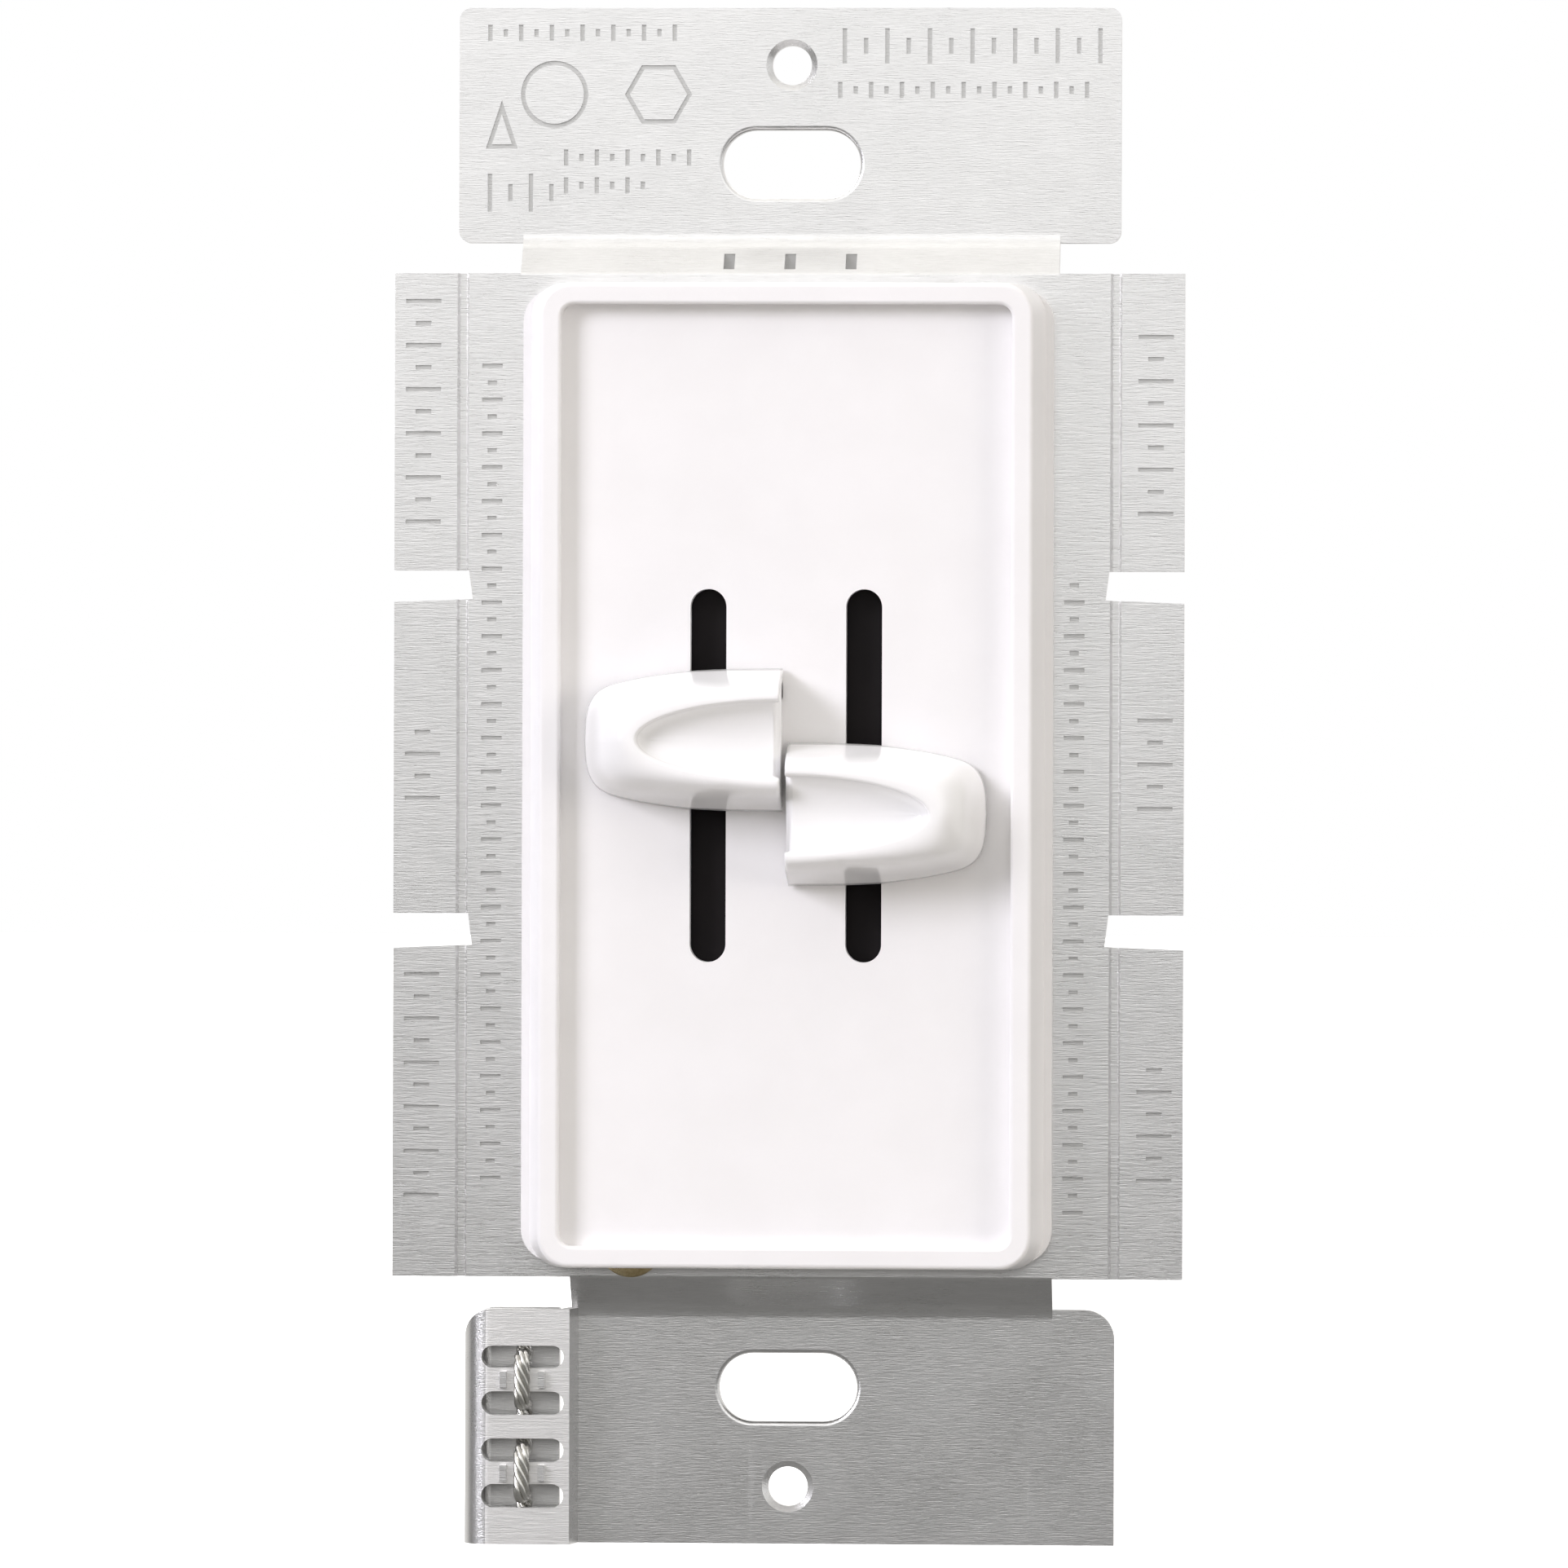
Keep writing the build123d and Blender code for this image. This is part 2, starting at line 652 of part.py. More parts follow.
# ---------------------------------------------------------------- power parts
def triac(side):
    """A flat power package: metal tab, moulded body and three bent leads."""
    x = side * triac_x
    back = panel_back + pad_t
    tab_low = triac_top - triac_tab_len
    tab = block(x - triac_w / 2, x + triac_w / 2, back, back + triac_tab_t, tab_low, triac_top)
    body_low = tab_low - triac_body_len
    body = block(x - triac_w / 2, x + triac_w / 2, back, back + triac_body_t, body_low, tab_low)
    package = tab + chamfer(body.edges().group_by(Axis.Y)[-1], 0.4)
    package -= rod(x, triac_top - triac_hole, triac_hole_r, back + 5, back - 1)
    lead_y = back + triac_body_t / 2
    for i in (-1, 0, 1):
        lx = x + i * lead_pitch
        low = body_low - lead_drop
        package += block(lx - lead_w / 2, lx + lead_w / 2, lead_y, lead_y + lead_t, low, body_low + 0.5)
        package += block(lx - 0.3, lx + 0.3, lead_y, board_back + pin_tail, low, low + lead_t)
    return package


def triac_pad(side):
    """The thin insulating pad between a triac and the strap."""
    x = side * triac_x
    low = triac_top - triac_tab_len - triac_body_len
    half = triac_w / 2 + pad_margin
    pad = block(x - half, x + half, panel_back, panel_back + pad_t, low - pad_margin, triac_top + pad_margin)
    return pad - rod(x, triac_top - triac_hole, triac_hole_r, panel_back + 1, panel_back - 1)


def rivet(x, z, clamp_back):
    """A brass rivet: domed head on the strap's face, shank and rolled tail behind."""
    front = panel_front - rivet_head_t
    head = rod(x, z, rivet_head_r, panel_front, front)
    head = fillet(head.edges().group_by(Axis.Y)[0], rivet_head_t * 0.7)
    shank = rod(x, z, rivet_shank, clamp_back, panel_front)
    tail = rod(x, z, rivet_head_r - 0.2, clamp_back + rivet_tail_t, clamp_back)
    return head + shank + tail


def triac_rivets():
    """The two rivets that clamp the triacs to the strap."""
    clamp = panel_back + pad_t + triac_tab_t
    return Compound([rivet(side * triac_x, triac_top - triac_hole, clamp) for side in sides.values()])


def pin_holes():
    """Where leads pass through the circuit board, as x, z pairs."""
    spots = [(side * slider_x, z) for side in sides.values() for z in pin_z]
    low = triac_top - triac_tab_len - triac_body_len - lead_drop + lead_t / 2
    spots += [(side * triac_x + i * lead_pitch, low) for side in sides.values() for i in (-1, 0, 1)]
    return spots


def part_holes():
    """Lead holes of the parts behind the board."""
    spots = []
    for side in sides.values():
        spots += [(side * choke_x + s * choke_pitch / 2, choke_z) for s in (-1, 1)]
        spots += [(side * cap_at[0] + s * cap_pitch / 2, cap_at[1]) for s in (-1, 1)]
        spots += [(side * timing_at[0] + s * timing_pitch / 2, timing_at[1]) for s in (-1, 1)]
        for z in resistor_z + (diac_z,):
            spots += [(side * timing_at[0] + s * axial_pitch / 2, z) for s in (-1, 1)]
    return spots


def circuit_board():
    """The circuit board, drilled for every lead and for the lead eyelets."""
    half_w = cover_w / 2 - cover_step - cover_wall - pcb_gap
    half_h = cover_h / 2 - cover_wall - pcb_gap
    board = layer(RectangleRounded(2 * half_w, 2 * half_h, 1.0), board_back, board_front)
    holes = [rod(x, z, pcb_hole_r, board_back + 1, board_front - 1) for x, z in pin_holes() + part_holes()]
    eyelet_out = eyelet_bore + eyelet_wall
    holes += [rod(x, eyelet_z, eyelet_out, board_back + 1, board_front - 1) for x in eyelet_x]
    return board - holes


def lead_eyelets():
    """Four rolled eyelets in the circuit board where the leads are soldered."""
    rings = []
    for x in eyelet_x:
        flare = rod(x, eyelet_z, eyelet_r, board_back + eyelet_wall, board_back)
        barrel = rod(x, eyelet_z, eyelet_bore + eyelet_wall, board_back, board_front)
        rings.append(flare + barrel - rod(x, eyelet_z, eyelet_bore, board_back + 1, board_front - 1))
    return Compound(rings)


def two_leads(x, z, half, start):
    """A pair of straight leads through the circuit board."""
    return [rod(x + s * half, z, lead_r, start, board_front - pin_tail) for s in (-1, 1)]


def choke_core(side):
    """The powdered-iron ring of a choke."""
    x = side * choke_x
    near = board_back + stand_off + winding_t
    ring_core = rod(x, choke_z, core_r, near + core_h, near) - rod(x, choke_z, core_bore, near + core_h, near)
    return chamfer(ring_core.edges().filter_by(GeomType.CIRCLE), 0.5)


def choke_winding(side):
    """The copper turns round a choke core, each turn a closed rectangular loop."""
    x = side * choke_x
    near = board_back + stand_off
    far = near + core_h + 2 * winding_t
    turns = []
    for i in range(choke_turns):
        angle = 360 * (i + 0.5) / choke_turns
        out = core_r + play + winding_t
        inn = core_bore - play - winding_t
        loop = block(inn, out, near, far, -winding_t / 2, winding_t / 2)
        loop -= block(core_bore - play, core_r + play, near + winding_t, far - winding_t, -1, 1)
        turns.append(Pos(x, 0, choke_z) * Rot(0, angle, 0) * loop)
    return Compound(turns + two_leads(x, choke_z, choke_pitch / 2, near + 2.0))


def boxed_capacitor(side, size, place, half):
    """A moulded film capacitor with two leads."""
    x = side * place[0]
    near = board_back + stand_off
    z0, z1 = place[1] - size[2] / 2, place[1] + size[2] / 2
    body = block(x - size[0] / 2, x + size[0] / 2, near, near + size[1], z0, z1)
    body = chamfer(body.edges().filter_by(Axis.Y) + body.edges().group_by(Axis.Y)[-1], 0.5)
    for lead in two_leads(x, place[1], half, near + 1):
        body += lead
    return body


def axial_part(x, z, r, length):
    """A round body lying along X with its leads bent into the board."""
    centre = board_back + stand_off + resistor_r
    body = Pos(x, centre, z) * Rot(0, 90, 0) * Cylinder(r, length)
    body = fillet(body.edges().filter_by(GeomType.CIRCLE), r * 0.4)
    wire = Pos(x, centre, z) * Rot(0, 90, 0) * Cylinder(lead_r, axial_pitch + 2 * lead_r)
    ends = two_leads(x, z, axial_pitch / 2, centre + lead_r)
    return body + wire + ends[0] + ends[1]


def axial_group(rows, r, length):
    """One axial part on each side for every row."""
    return Compound([axial_part(side * timing_at[0], z, r, length) for side in sides.values() for z in rows])


# ---------------------------------------------------------------- back cover
def back_cover():
    """The moulded box behind the strap, with board shelves, lugs and lead outlets."""
    narrow_w = cover_w - 2 * cover_step
    wide = layer(RectangleRounded(cover_w, cover_h, cover_r), cover_step_y, panel_back)
    narrow = layer(RectangleRounded(narrow_w, cover_h, cover_r), cover_back, panel_back)
    narrow = fillet(narrow.edges().group_by(Axis.Y)[-1], cover_edge_r)
    inner_w = narrow_w - 2 * cover_wall
    inner_h = cover_h - 2 * cover_wall
    inner_r = cover_r - cover_wall
    hollow = RectangleRounded(cover_w - 2 * cover_wall, inner_h, inner_r)
    cover = wide + narrow - layer(hollow, cover_step_y - cover_wall, panel_back - 1)
    cover -= layer(RectangleRounded(inner_w, inner_h, inner_r), cover_inner, panel_back - 1)
    for sx in (-1, 1):
        for sz in (-1, 1):
            x0, x1 = sorted((sx * (inner_w / 2 + 0.5), sx * (inner_w / 2 - shelf)))
            z0, z1 = sorted((sz * (inner_h / 2 + 0.5), sz * (inner_h / 2 - shelf)))
            cover += block(x0, x1, board_back, cover_inner + 0.5, z0, z1)
    for x, z in case_rivets:
        z0, z1 = sorted((cover_h / 2 * z / abs(z) - z / abs(z), lug_end * z / abs(z)))
        lug = rect(x - lug_w / 2, x + lug_w / 2, z0, z1)
        cover += layer(lug, panel_back + lug_t, panel_back)
        cover -= rod(x, z, rivet_shank, panel_back + lug_t + 1, panel_back - 1)
    for side in sides.values():
        collar = SlotOverall(outlet_len + 2 * outlet_collar, outlet_w + 2 * outlet_collar)
        cover += layer(at(side * outlet_x, eyelet_z, collar), cover_back + outlet_proud, cover_inner)
        mouth = at(side * outlet_x, eyelet_z, SlotOverall(outlet_len, outlet_w))
        cover -= layer(mouth, cover_back + 5, cover_inner - 1)
    return cover


def cover_rivets():
    """The rivets that hold the back cover to the strap."""
    return Compound([rivet(x, z, panel_back + lug_t) for x, z in case_rivets])


# ---------------------------------------------------------------- build everything
save("mounting_strap", mounting_strap())
save("ground_wire", ground_wire())
save("bezel", bezel())
save("slot_liner", slot_liner())
for name, side in sides.items():
    z = rest_z[name]
    save(f"slider_knob_{name}", slider_knob(side, z))
    save(f"slider_lever_{name}", slider_lever(side, z))
    save(f"dust_shield_{name}", dust_shield(side, z))
    save(f"wiper_spring_{name}", wiper_spring(side, z))
    save(f"slide_case_{name}", slide_case(side))
    save(f"resistive_track_{name}", resistive_track(side))
    save(f"track_pins_{name}", track_pins(side))
    save(f"off_switch_leaf_{name}", off_switch(side, True))
    save(f"off_switch_contact_{name}", off_switch(side, False))
    save(f"triac_{name}", triac(side))
    save(f"triac_pad_{name}", triac_pad(side))
    save(f"choke_core_{name}", choke_core(side))
    save(f"choke_winding_{name}", choke_winding(side))
    save(f"film_capacitor_{name}", boxed_capacitor(side, cap_size, cap_at, cap_pitch / 2))
    save(f"timing_capacitor_{name}", boxed_capacitor(side, timing_size, timing_at, timing_pitch / 2))
save("triac_rivets", triac_rivets())
save("circuit_board", circuit_board())
save("lead_eyelets", lead_eyelets())
save("resistors", axial_group(resistor_z, resistor_r, resistor_len))
save("diacs", axial_group((diac_z,), diac_r, diac_len))
save("back_cover", back_cover())
save("cover_rivets", cover_rivets())
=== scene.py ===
"""Looks of a dual slide dimmer switch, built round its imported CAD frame.

Metres. +Z up, -Y towards the room. The white knobs and the laced ground wire
are new surfaces; the strap, bezel and back cover are softened copies of their
CAD nodes; every other node keeps its mesh and gets its finish here.
"""
import json
import math
import bmesh
import bpy
import numpy as np
from mathutils import Matrix, Vector


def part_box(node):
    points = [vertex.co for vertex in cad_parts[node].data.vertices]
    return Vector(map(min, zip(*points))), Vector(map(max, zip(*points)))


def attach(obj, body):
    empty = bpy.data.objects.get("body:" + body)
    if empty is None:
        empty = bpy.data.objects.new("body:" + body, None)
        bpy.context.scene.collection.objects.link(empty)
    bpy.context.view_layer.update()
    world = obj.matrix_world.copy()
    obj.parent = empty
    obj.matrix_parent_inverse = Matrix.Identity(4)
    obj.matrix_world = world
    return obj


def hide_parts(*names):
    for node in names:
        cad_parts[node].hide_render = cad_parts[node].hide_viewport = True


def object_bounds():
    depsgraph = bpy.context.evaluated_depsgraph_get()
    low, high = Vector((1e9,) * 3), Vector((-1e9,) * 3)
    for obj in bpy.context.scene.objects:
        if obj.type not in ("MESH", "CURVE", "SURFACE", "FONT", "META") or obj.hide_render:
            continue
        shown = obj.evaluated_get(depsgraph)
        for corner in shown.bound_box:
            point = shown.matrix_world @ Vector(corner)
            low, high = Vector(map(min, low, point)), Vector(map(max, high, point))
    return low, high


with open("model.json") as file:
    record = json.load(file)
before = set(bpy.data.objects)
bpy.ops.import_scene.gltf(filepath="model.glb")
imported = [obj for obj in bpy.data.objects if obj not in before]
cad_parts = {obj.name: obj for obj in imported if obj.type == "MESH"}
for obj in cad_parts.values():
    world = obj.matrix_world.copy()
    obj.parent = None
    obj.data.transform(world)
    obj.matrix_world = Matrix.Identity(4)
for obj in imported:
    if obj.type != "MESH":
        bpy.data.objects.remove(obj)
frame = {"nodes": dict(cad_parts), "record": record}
cad_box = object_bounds()
MM = 0.001


# ---------------------------------------------------------------- shader writing
class Signal:
    """One output of a material's nodes. Arithmetic on it adds Math nodes."""

    def __init__(self, finish, socket):
        self.finish = finish
        self.socket = socket

    def _math(self, operation, first, second):
        return self.finish.add("ShaderNodeMath", {"operation": operation}, {0: first, 1: second})

    def __add__(self, other):
        return self._math("ADD", self, other)

    __radd__ = __add__

    def __sub__(self, other):
        return self._math("SUBTRACT", self, other)

    def __rsub__(self, other):
        return self._math("SUBTRACT", other, self)

    def __mul__(self, other):
        return self._math("MULTIPLY", self, other)

    __rmul__ = __mul__


class Finish:
    """A procedural material on the Principled shader, in millimetres of the object."""

    def __init__(self, name, **fixed):
        self.material = bpy.data.materials.new(name)
        self.material.use_nodes = True
        self.tree = self.material.node_tree
        self.shader = self.tree.nodes["Principled BSDF"]
        for key, value in fixed.items():
            self.shader.inputs[key.replace("_", " ")].default_value = value

    def add(self, kind, settings=None, sockets=None, out=0):
        """Add a node: its type, then its settings, then its sockets' values or links."""
        node = self.tree.nodes.new(kind)
        for key, value in (settings or {}).items():
            setattr(node, key, value)
        for key, value in (sockets or {}).items():
            self.feed(node.inputs[key], value)
        return Signal(self, node.outputs[out])

    def feed(self, socket, value):
        """Link a signal to a socket, or set the socket's value."""
        if isinstance(value, Signal):
            self.tree.links.new(value.socket, socket)
        elif isinstance(value, (tuple, list)) and len(value) == 3 and socket.type == "RGBA":
            socket.default_value = (*value, 1)
        else:
            socket.default_value = value

    def place(self, stretch=(1, 1, 1)):
        """Object coordinates in millimetres, stretched along each axis."""
        at = self.add("ShaderNodeTexCoord", out=3)
        scale = tuple(1 / (MM * s) for s in stretch)
        return self.add(
            "ShaderNodeMapping", {"vector_type": "POINT"}, {"Vector": at, "Scale": scale}
        )

    def noise(self, size, detail=2.0, rough=0.5, stretch=(1, 1, 1)):
        """Smooth noise from 0 to 1 whose features are about size millimetres."""
        return self.add(
            "ShaderNodeTexNoise",
            sockets={
                "Vector": self.place(stretch), "Scale": 1 / size,
                "Detail": detail, "Roughness": rough,
            },
        )

    def ramp(self, signal, low, high):
        """0 below low, 1 above high, smooth between."""
        return self.add(
            "ShaderNodeMapRange",
            {"interpolation_type": "SMOOTHSTEP"},
            {"Value": signal, "From Min": low, "From Max": high},
        )

    def attribute(self, name):
        """A number stored on the piece's own faces."""
        return self.add("ShaderNodeAttribute", {"attribute_name": name}, out=2)

    def mix(self, factor, first, second):
        """A colour between two colours."""
        return self.add(
            "ShaderNodeMix", {"data_type": "RGBA"}, {"Factor": factor, 6: first, 7: second}, out=2
        )

    def bump(self, height, depth):
        """Bump of a height signal, whose full range is depth millimetres."""
        return self.add(
            "ShaderNodeBump", sockets={"Height": height, "Distance": depth * MM, "Strength": 1.0}
        )

    def set(self, **varying):
        """Feed the shader's varying inputs and return the material."""
        for key, value in varying.items():
            self.feed(self.shader.inputs[key.replace("_", " ")], value)
        return self.material


# ---------------------------------------------------------------- finishes
STREAK_DEPTH = 0.014             # in mm, like every depth given to a bump
FIBRE_DEPTH = 0.005
MARK_DEPTH = 0.004
# colours of the strap's painted shade and painted sheen
PAINTED_SHADE_METAL = (0.30, 0.295, 0.285)
PAINTED_SHEEN_METAL = (0.97, 0.955, 0.94)


def sheet_metal(name, bright, tarnished, rough):
    """Rolled sheet: fine streaks along X, duller blotches and a few scratches. Faces whose
    stored painted light is above 0 get painted shade, darker and rougher; below 0 a painted sheen,
    paler and rougher."""
    f = Finish(name, Metallic=1.0)
    streaks = f.noise(0.085, 3, 0.6, stretch=(16, 1, 1))
    fine = f.noise(0.05, 2, 0.5, stretch=(7, 1, 1))
    blotch = f.noise(7.0, 4, 0.6)
    stain = f.noise(1.1, 3, 0.55, stretch=(2.5, 1, 1))
    scratch = f.ramp(f.noise(0.7, 1, 0.5, stretch=(1, 1, 14)), 0.70, 0.76)
    tone = streaks * 0.5 + fine * 0.2 + blotch * 0.35 + stain * 0.25 - 0.15
    colour = f.mix(f.ramp(tone, 0.25, 0.75), tarnished, bright)
    roughness = rough + (streaks - 0.5) * 0.16 + (blotch - 0.5) * 0.10 + scratch * 0.05
    height = streaks + fine * 0.5 - scratch * 0.15
    # painted light: faces above 0 take painted shade, darker; faces below 0 take a painted sheen,
    # paler
    tarnish_and_painted_light = f.attribute("painted_shade_and_sheen")
    colour = f.mix(tarnish_and_painted_light, colour, PAINTED_SHADE_METAL)
    colour = f.mix(tarnish_and_painted_light * -1, colour, PAINTED_SHEEN_METAL)
    roughness = roughness + tarnish_and_painted_light * tarnish_and_painted_light * 0.2
    return f.set(Base_Color=colour, Roughness=roughness, Normal=f.bump(height, STREAK_DEPTH))


def moulded(name, colour, shade, rough, texture=0.004, size=0.25, **fixed):
    """Moulded plastic: faint cloudiness in colour, and a surface texture with its depth
    and the size of its features in mm."""
    f = Finish(name, **fixed)
    cloud = f.noise(6.0, 3, 0.55)
    pits = f.noise(size, 3, 0.6)
    tint = f.mix(f.ramp(cloud + (pits - 0.5) * 0.2, 0.3, 0.7), shade, colour)
    roughness = rough + (cloud - 0.5) * 0.06 + (pits - 0.5) * 0.08
    return f.set(Base_Color=tint, Roughness=roughness, Normal=f.bump(pits, texture))


def drawn_metal(name, bright, tarnish_and_painted_light, rough):
    """Small metal parts: tarnish in soft patches and fine drawing marks."""
    f = Finish(name, Metallic=1.0)
    tarnish = f.noise(1.6, 4, 0.6)
    marks = f.noise(0.12, 2, 0.5)
    colour = f.mix(f.ramp(tarnish + (marks - 0.5) * 0.3, 0.35, 0.7), bright, tarnish_and_painted_light)
    roughness = rough + (tarnish - 0.5) * 0.2 + (marks - 0.5) * 0.1
    return f.set(Base_Color=colour, Roughness=roughness, Normal=f.bump(marks, MARK_DEPTH))


def laminate(name, colour, shade, rough):
    """Phenolic board: fine paper fibres along both directions under resin."""
    f = Finish(name, Coat_Weight=0.15)
    warp = f.noise(0.12, 2, 0.5, stretch=(9, 1, 1))
    weft = f.noise(0.12, 2, 0.5, stretch=(1, 1, 9))
    cloud = f.noise(4.0, 3, 0.5)
    tint = f.mix(f.ramp(warp * 0.4 + weft * 0.4 + cloud * 0.3, 0.4, 0.7), shade, colour)
    roughness = rough + (cloud - 0.5) * 0.1
    return f.set(Base_Color=tint, Roughness=roughness, Normal=f.bump(warp + weft, FIBRE_DEPTH))


FINISHES = {
    "strap_aluminium": sheet_metal(
        "strap_aluminium", (0.87, 0.865, 0.86), (0.76, 0.755, 0.75), 0.30
    ),
    "bezel_white": moulded(
        "bezel_white", (0.905, 0.893, 0.895), (0.885, 0.872, 0.872), 0.33, 0.003,
        Coat_Weight=0.1, Coat_Roughness=0.25,
    ),
    "knob_white": moulded(
        "knob_white", (0.93, 0.925, 0.925), (0.915, 0.908, 0.905), 0.16, 0.0015,
        Coat_Weight=0.4, Coat_Roughness=0.08,
    ),
    "liner_black": moulded(
        "liner_black", (0.008, 0.006, 0.0065), (0.006, 0.0045, 0.005), 0.7,
        Specular_IOR_Level=0.2,
    ),
    "shield_black": moulded(
        "shield_black", (0.008, 0.006, 0.0065), (0.006, 0.0045, 0.005), 0.7,
        Specular_IOR_Level=0.2,
    ),
    "lever_acetal": moulded("lever_acetal", (0.80, 0.79, 0.75), (0.74, 0.73, 0.69), 0.42),
    "case_phenolic": moulded("case_phenolic", (0.09, 0.055, 0.04), (0.06, 0.035, 0.026), 0.5),
    "track_board": laminate("track_board", (0.30, 0.22, 0.12), (0.22, 0.15, 0.08), 0.5),
    "bronze": drawn_metal("bronze", (0.66, 0.45, 0.26), (0.46, 0.30, 0.18), 0.28),
    "tinned_pins": drawn_metal("tinned_pins", (0.78, 0.78, 0.77), (0.60, 0.60, 0.59), 0.3),
    "silver_contacts": drawn_metal("silver_contacts", (0.80, 0.74, 0.62), (0.60, 0.50, 0.38), 0.3),
    "triac_black": moulded("triac_black", (0.035, 0.035, 0.037), (0.022, 0.022, 0.024), 0.48),
    "thermal_pad": moulded("thermal_pad", (0.52, 0.53, 0.55), (0.45, 0.46, 0.48), 0.75),
    "brass_rivet": drawn_metal("brass_rivet", (0.80, 0.66, 0.40), (0.55, 0.42, 0.22), 0.3),
    "pcb": laminate("pcb", (0.46, 0.36, 0.17), (0.36, 0.27, 0.12), 0.45),
    "iron_core": moulded("iron_core", (0.62, 0.55, 0.10), (0.50, 0.43, 0.07), 0.4),
    "copper_wire": drawn_metal("copper_wire", (0.72, 0.33, 0.15), (0.52, 0.20, 0.08), 0.22),
    "film_case": moulded(
        "film_case", (0.48, 0.06, 0.03), (0.38, 0.04, 0.02), 0.3, Coat_Weight=0.2
    ),
    "timing_case": moulded(
        "timing_case", (0.06, 0.13, 0.32), (0.04, 0.10, 0.25), 0.3, Coat_Weight=0.2
    ),
    "resistor_coat": moulded("resistor_coat", (0.58, 0.50, 0.35), (0.50, 0.42, 0.28), 0.4),
    "diac_glass": moulded(
        "diac_glass", (0.55, 0.20, 0.09), (0.42, 0.13, 0.05), 0.12, Coat_Weight=0.5
    ),
    "cover_black": moulded(
        "cover_black", (0.040, 0.039, 0.039), (0.028, 0.027, 0.027), 0.52, 0.010, 0.35
    ),
    "bare_wire": drawn_metal("bare_wire", (0.80, 0.79, 0.75), (0.58, 0.57, 0.53), 0.3),
}


def dress(piece, slot):
    """Give a piece the finish that its record slot names."""
    piece.data.materials.clear()
    piece.data.materials.append(FINISHES[slot])


for row in frame["record"]["subparts"]:
    dress(frame["nodes"][row["node"]], row["material_slot"])


# ---------------------------------------------------------------- new pieces
SEAM_WIDE = 0.001                # points closer than this, in mm, are joined at seams


def mesh_piece(name, points, faces, slot, body, *nodes):
    """Make a piece from points (metres) and faces, on a body, standing for CAD nodes."""
    mesh = bpy.data.meshes.new(name)
    mesh.from_pydata(points.tolist(), [], faces)
    work = bmesh.new()
    work.from_mesh(mesh)
    bmesh.ops.remove_doubles(work, verts=work.verts, dist=SEAM_WIDE * MM)
    bmesh.ops.recalc_face_normals(work, faces=work.faces)
    work.to_mesh(mesh)
    work.free()
    piece = add_object(name, mesh)
    mesh.shade_smooth()
    dress(piece, slot)
    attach(piece, body)
    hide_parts(*nodes)


def add_object(name, data):
    """Link a new object to the scene."""
    thing = bpy.data.objects.new(name, data)
    bpy.context.scene.collection.objects.link(thing)
    return thing


def grid_faces(rows, columns, first=0):
    """Quads of a grid of rows by columns, its points numbered row by row."""
    i = np.arange(rows - 1)[:, None] * columns + np.arange(columns - 1)[None, :] + first
    return np.stack([i, i + 1, i + columns + 1, i + columns], -1).reshape(-1, 4).tolist()


def along(points, count):
    """Points spaced evenly by length along a line of points."""
    steps = np.r_[0, np.cumsum(np.linalg.norm(np.diff(points, axis=0), axis=1))]
    places = np.linspace(0, steps[-1], count)
    return np.stack([np.interp(places, steps, points[:, i]) for i in range(points.shape[1])], 1)


FINE_STEPS = 2000


def rounded(points, radius, count):
    """A line of points with its corners rounded: a moving average as long as the radius."""
    dense = along(points, FINE_STEPS + 1)
    length = np.linalg.norm(np.diff(dense, axis=0), axis=1).sum()
    half = max(1, int(radius / length * FINE_STEPS / 2))
    front = 2 * dense[0] - dense[half:0:-1]
    back = 2 * dense[-1] - dense[-2 : -half - 2 : -1]
    padded = np.concatenate([front, dense, back])
    kernel = np.ones(2 * half + 1) / (2 * half + 1)
    smooth = np.stack([np.convolve(padded[:, i], kernel, "valid") for i in range(2)], 1)
    return along(smooth, count)


SAME_PLACE = 0.002               # points closer than this, in mm, are joined
FLAT_ANGLE = math.radians(0.5)
SHARP_ANGLE = math.radians(32)
EDGE_SEGMENTS = 2
FLAT_WEIGHT = 100                # how far a large face decides the shading at its edges
DEPTH_PLAY = 0.02                # how far a face may lie from the depth it is listed under
FACES_ROOM = -0.99               # the Y of the normal of a face that looks towards the room
ANYWHERE = 1000.0
# painted sheen on the clamp's flap, paler in place of the reflection its slight tilt catches
PAINTED_SHEEN = -0.8
# painted shade on the fold of the hem, weaker than on the rest of the lower ear
FOLD_PAINTED_SHADE = 0.12
FOLD_X = -19.9                   # the fold of the wire clamp's hem lies to the left of this
EAR_Z = -36.0                    # the lower ear lies below this
PAINTED_LIGHT_FACES = (                   # depth along Y, right-hand and upper limits in mm, painted light: above 0 painted shade, below 0 painted sheen
    (-3.6, -14.7, EAR_Z, PAINTED_SHEEN),      # painted sheen on the flap of the wire clamp, paler than the ear
    (-1.0, ANYWHERE, ANYWHERE, 0.42),     # painted shade in the floors of the marks on the ear
    (-3.4, ANYWHERE, ANYWHERE, 0.42),     # painted shade in the floors of the marks on the panel
    (-1.95, ANYWHERE, ANYWHERE, 0.80),    # painted shade in the floors of the notches in the upper step
    (-1.2, ANYWHERE, EAR_Z, 0.22),        # painted shade darkening the lower ear, in place of a dimmer reflection there
    (-1.2, -15.5, EAR_Z, 0.30),           # painted shade on the hem, inside the wire clamp under the flap
)


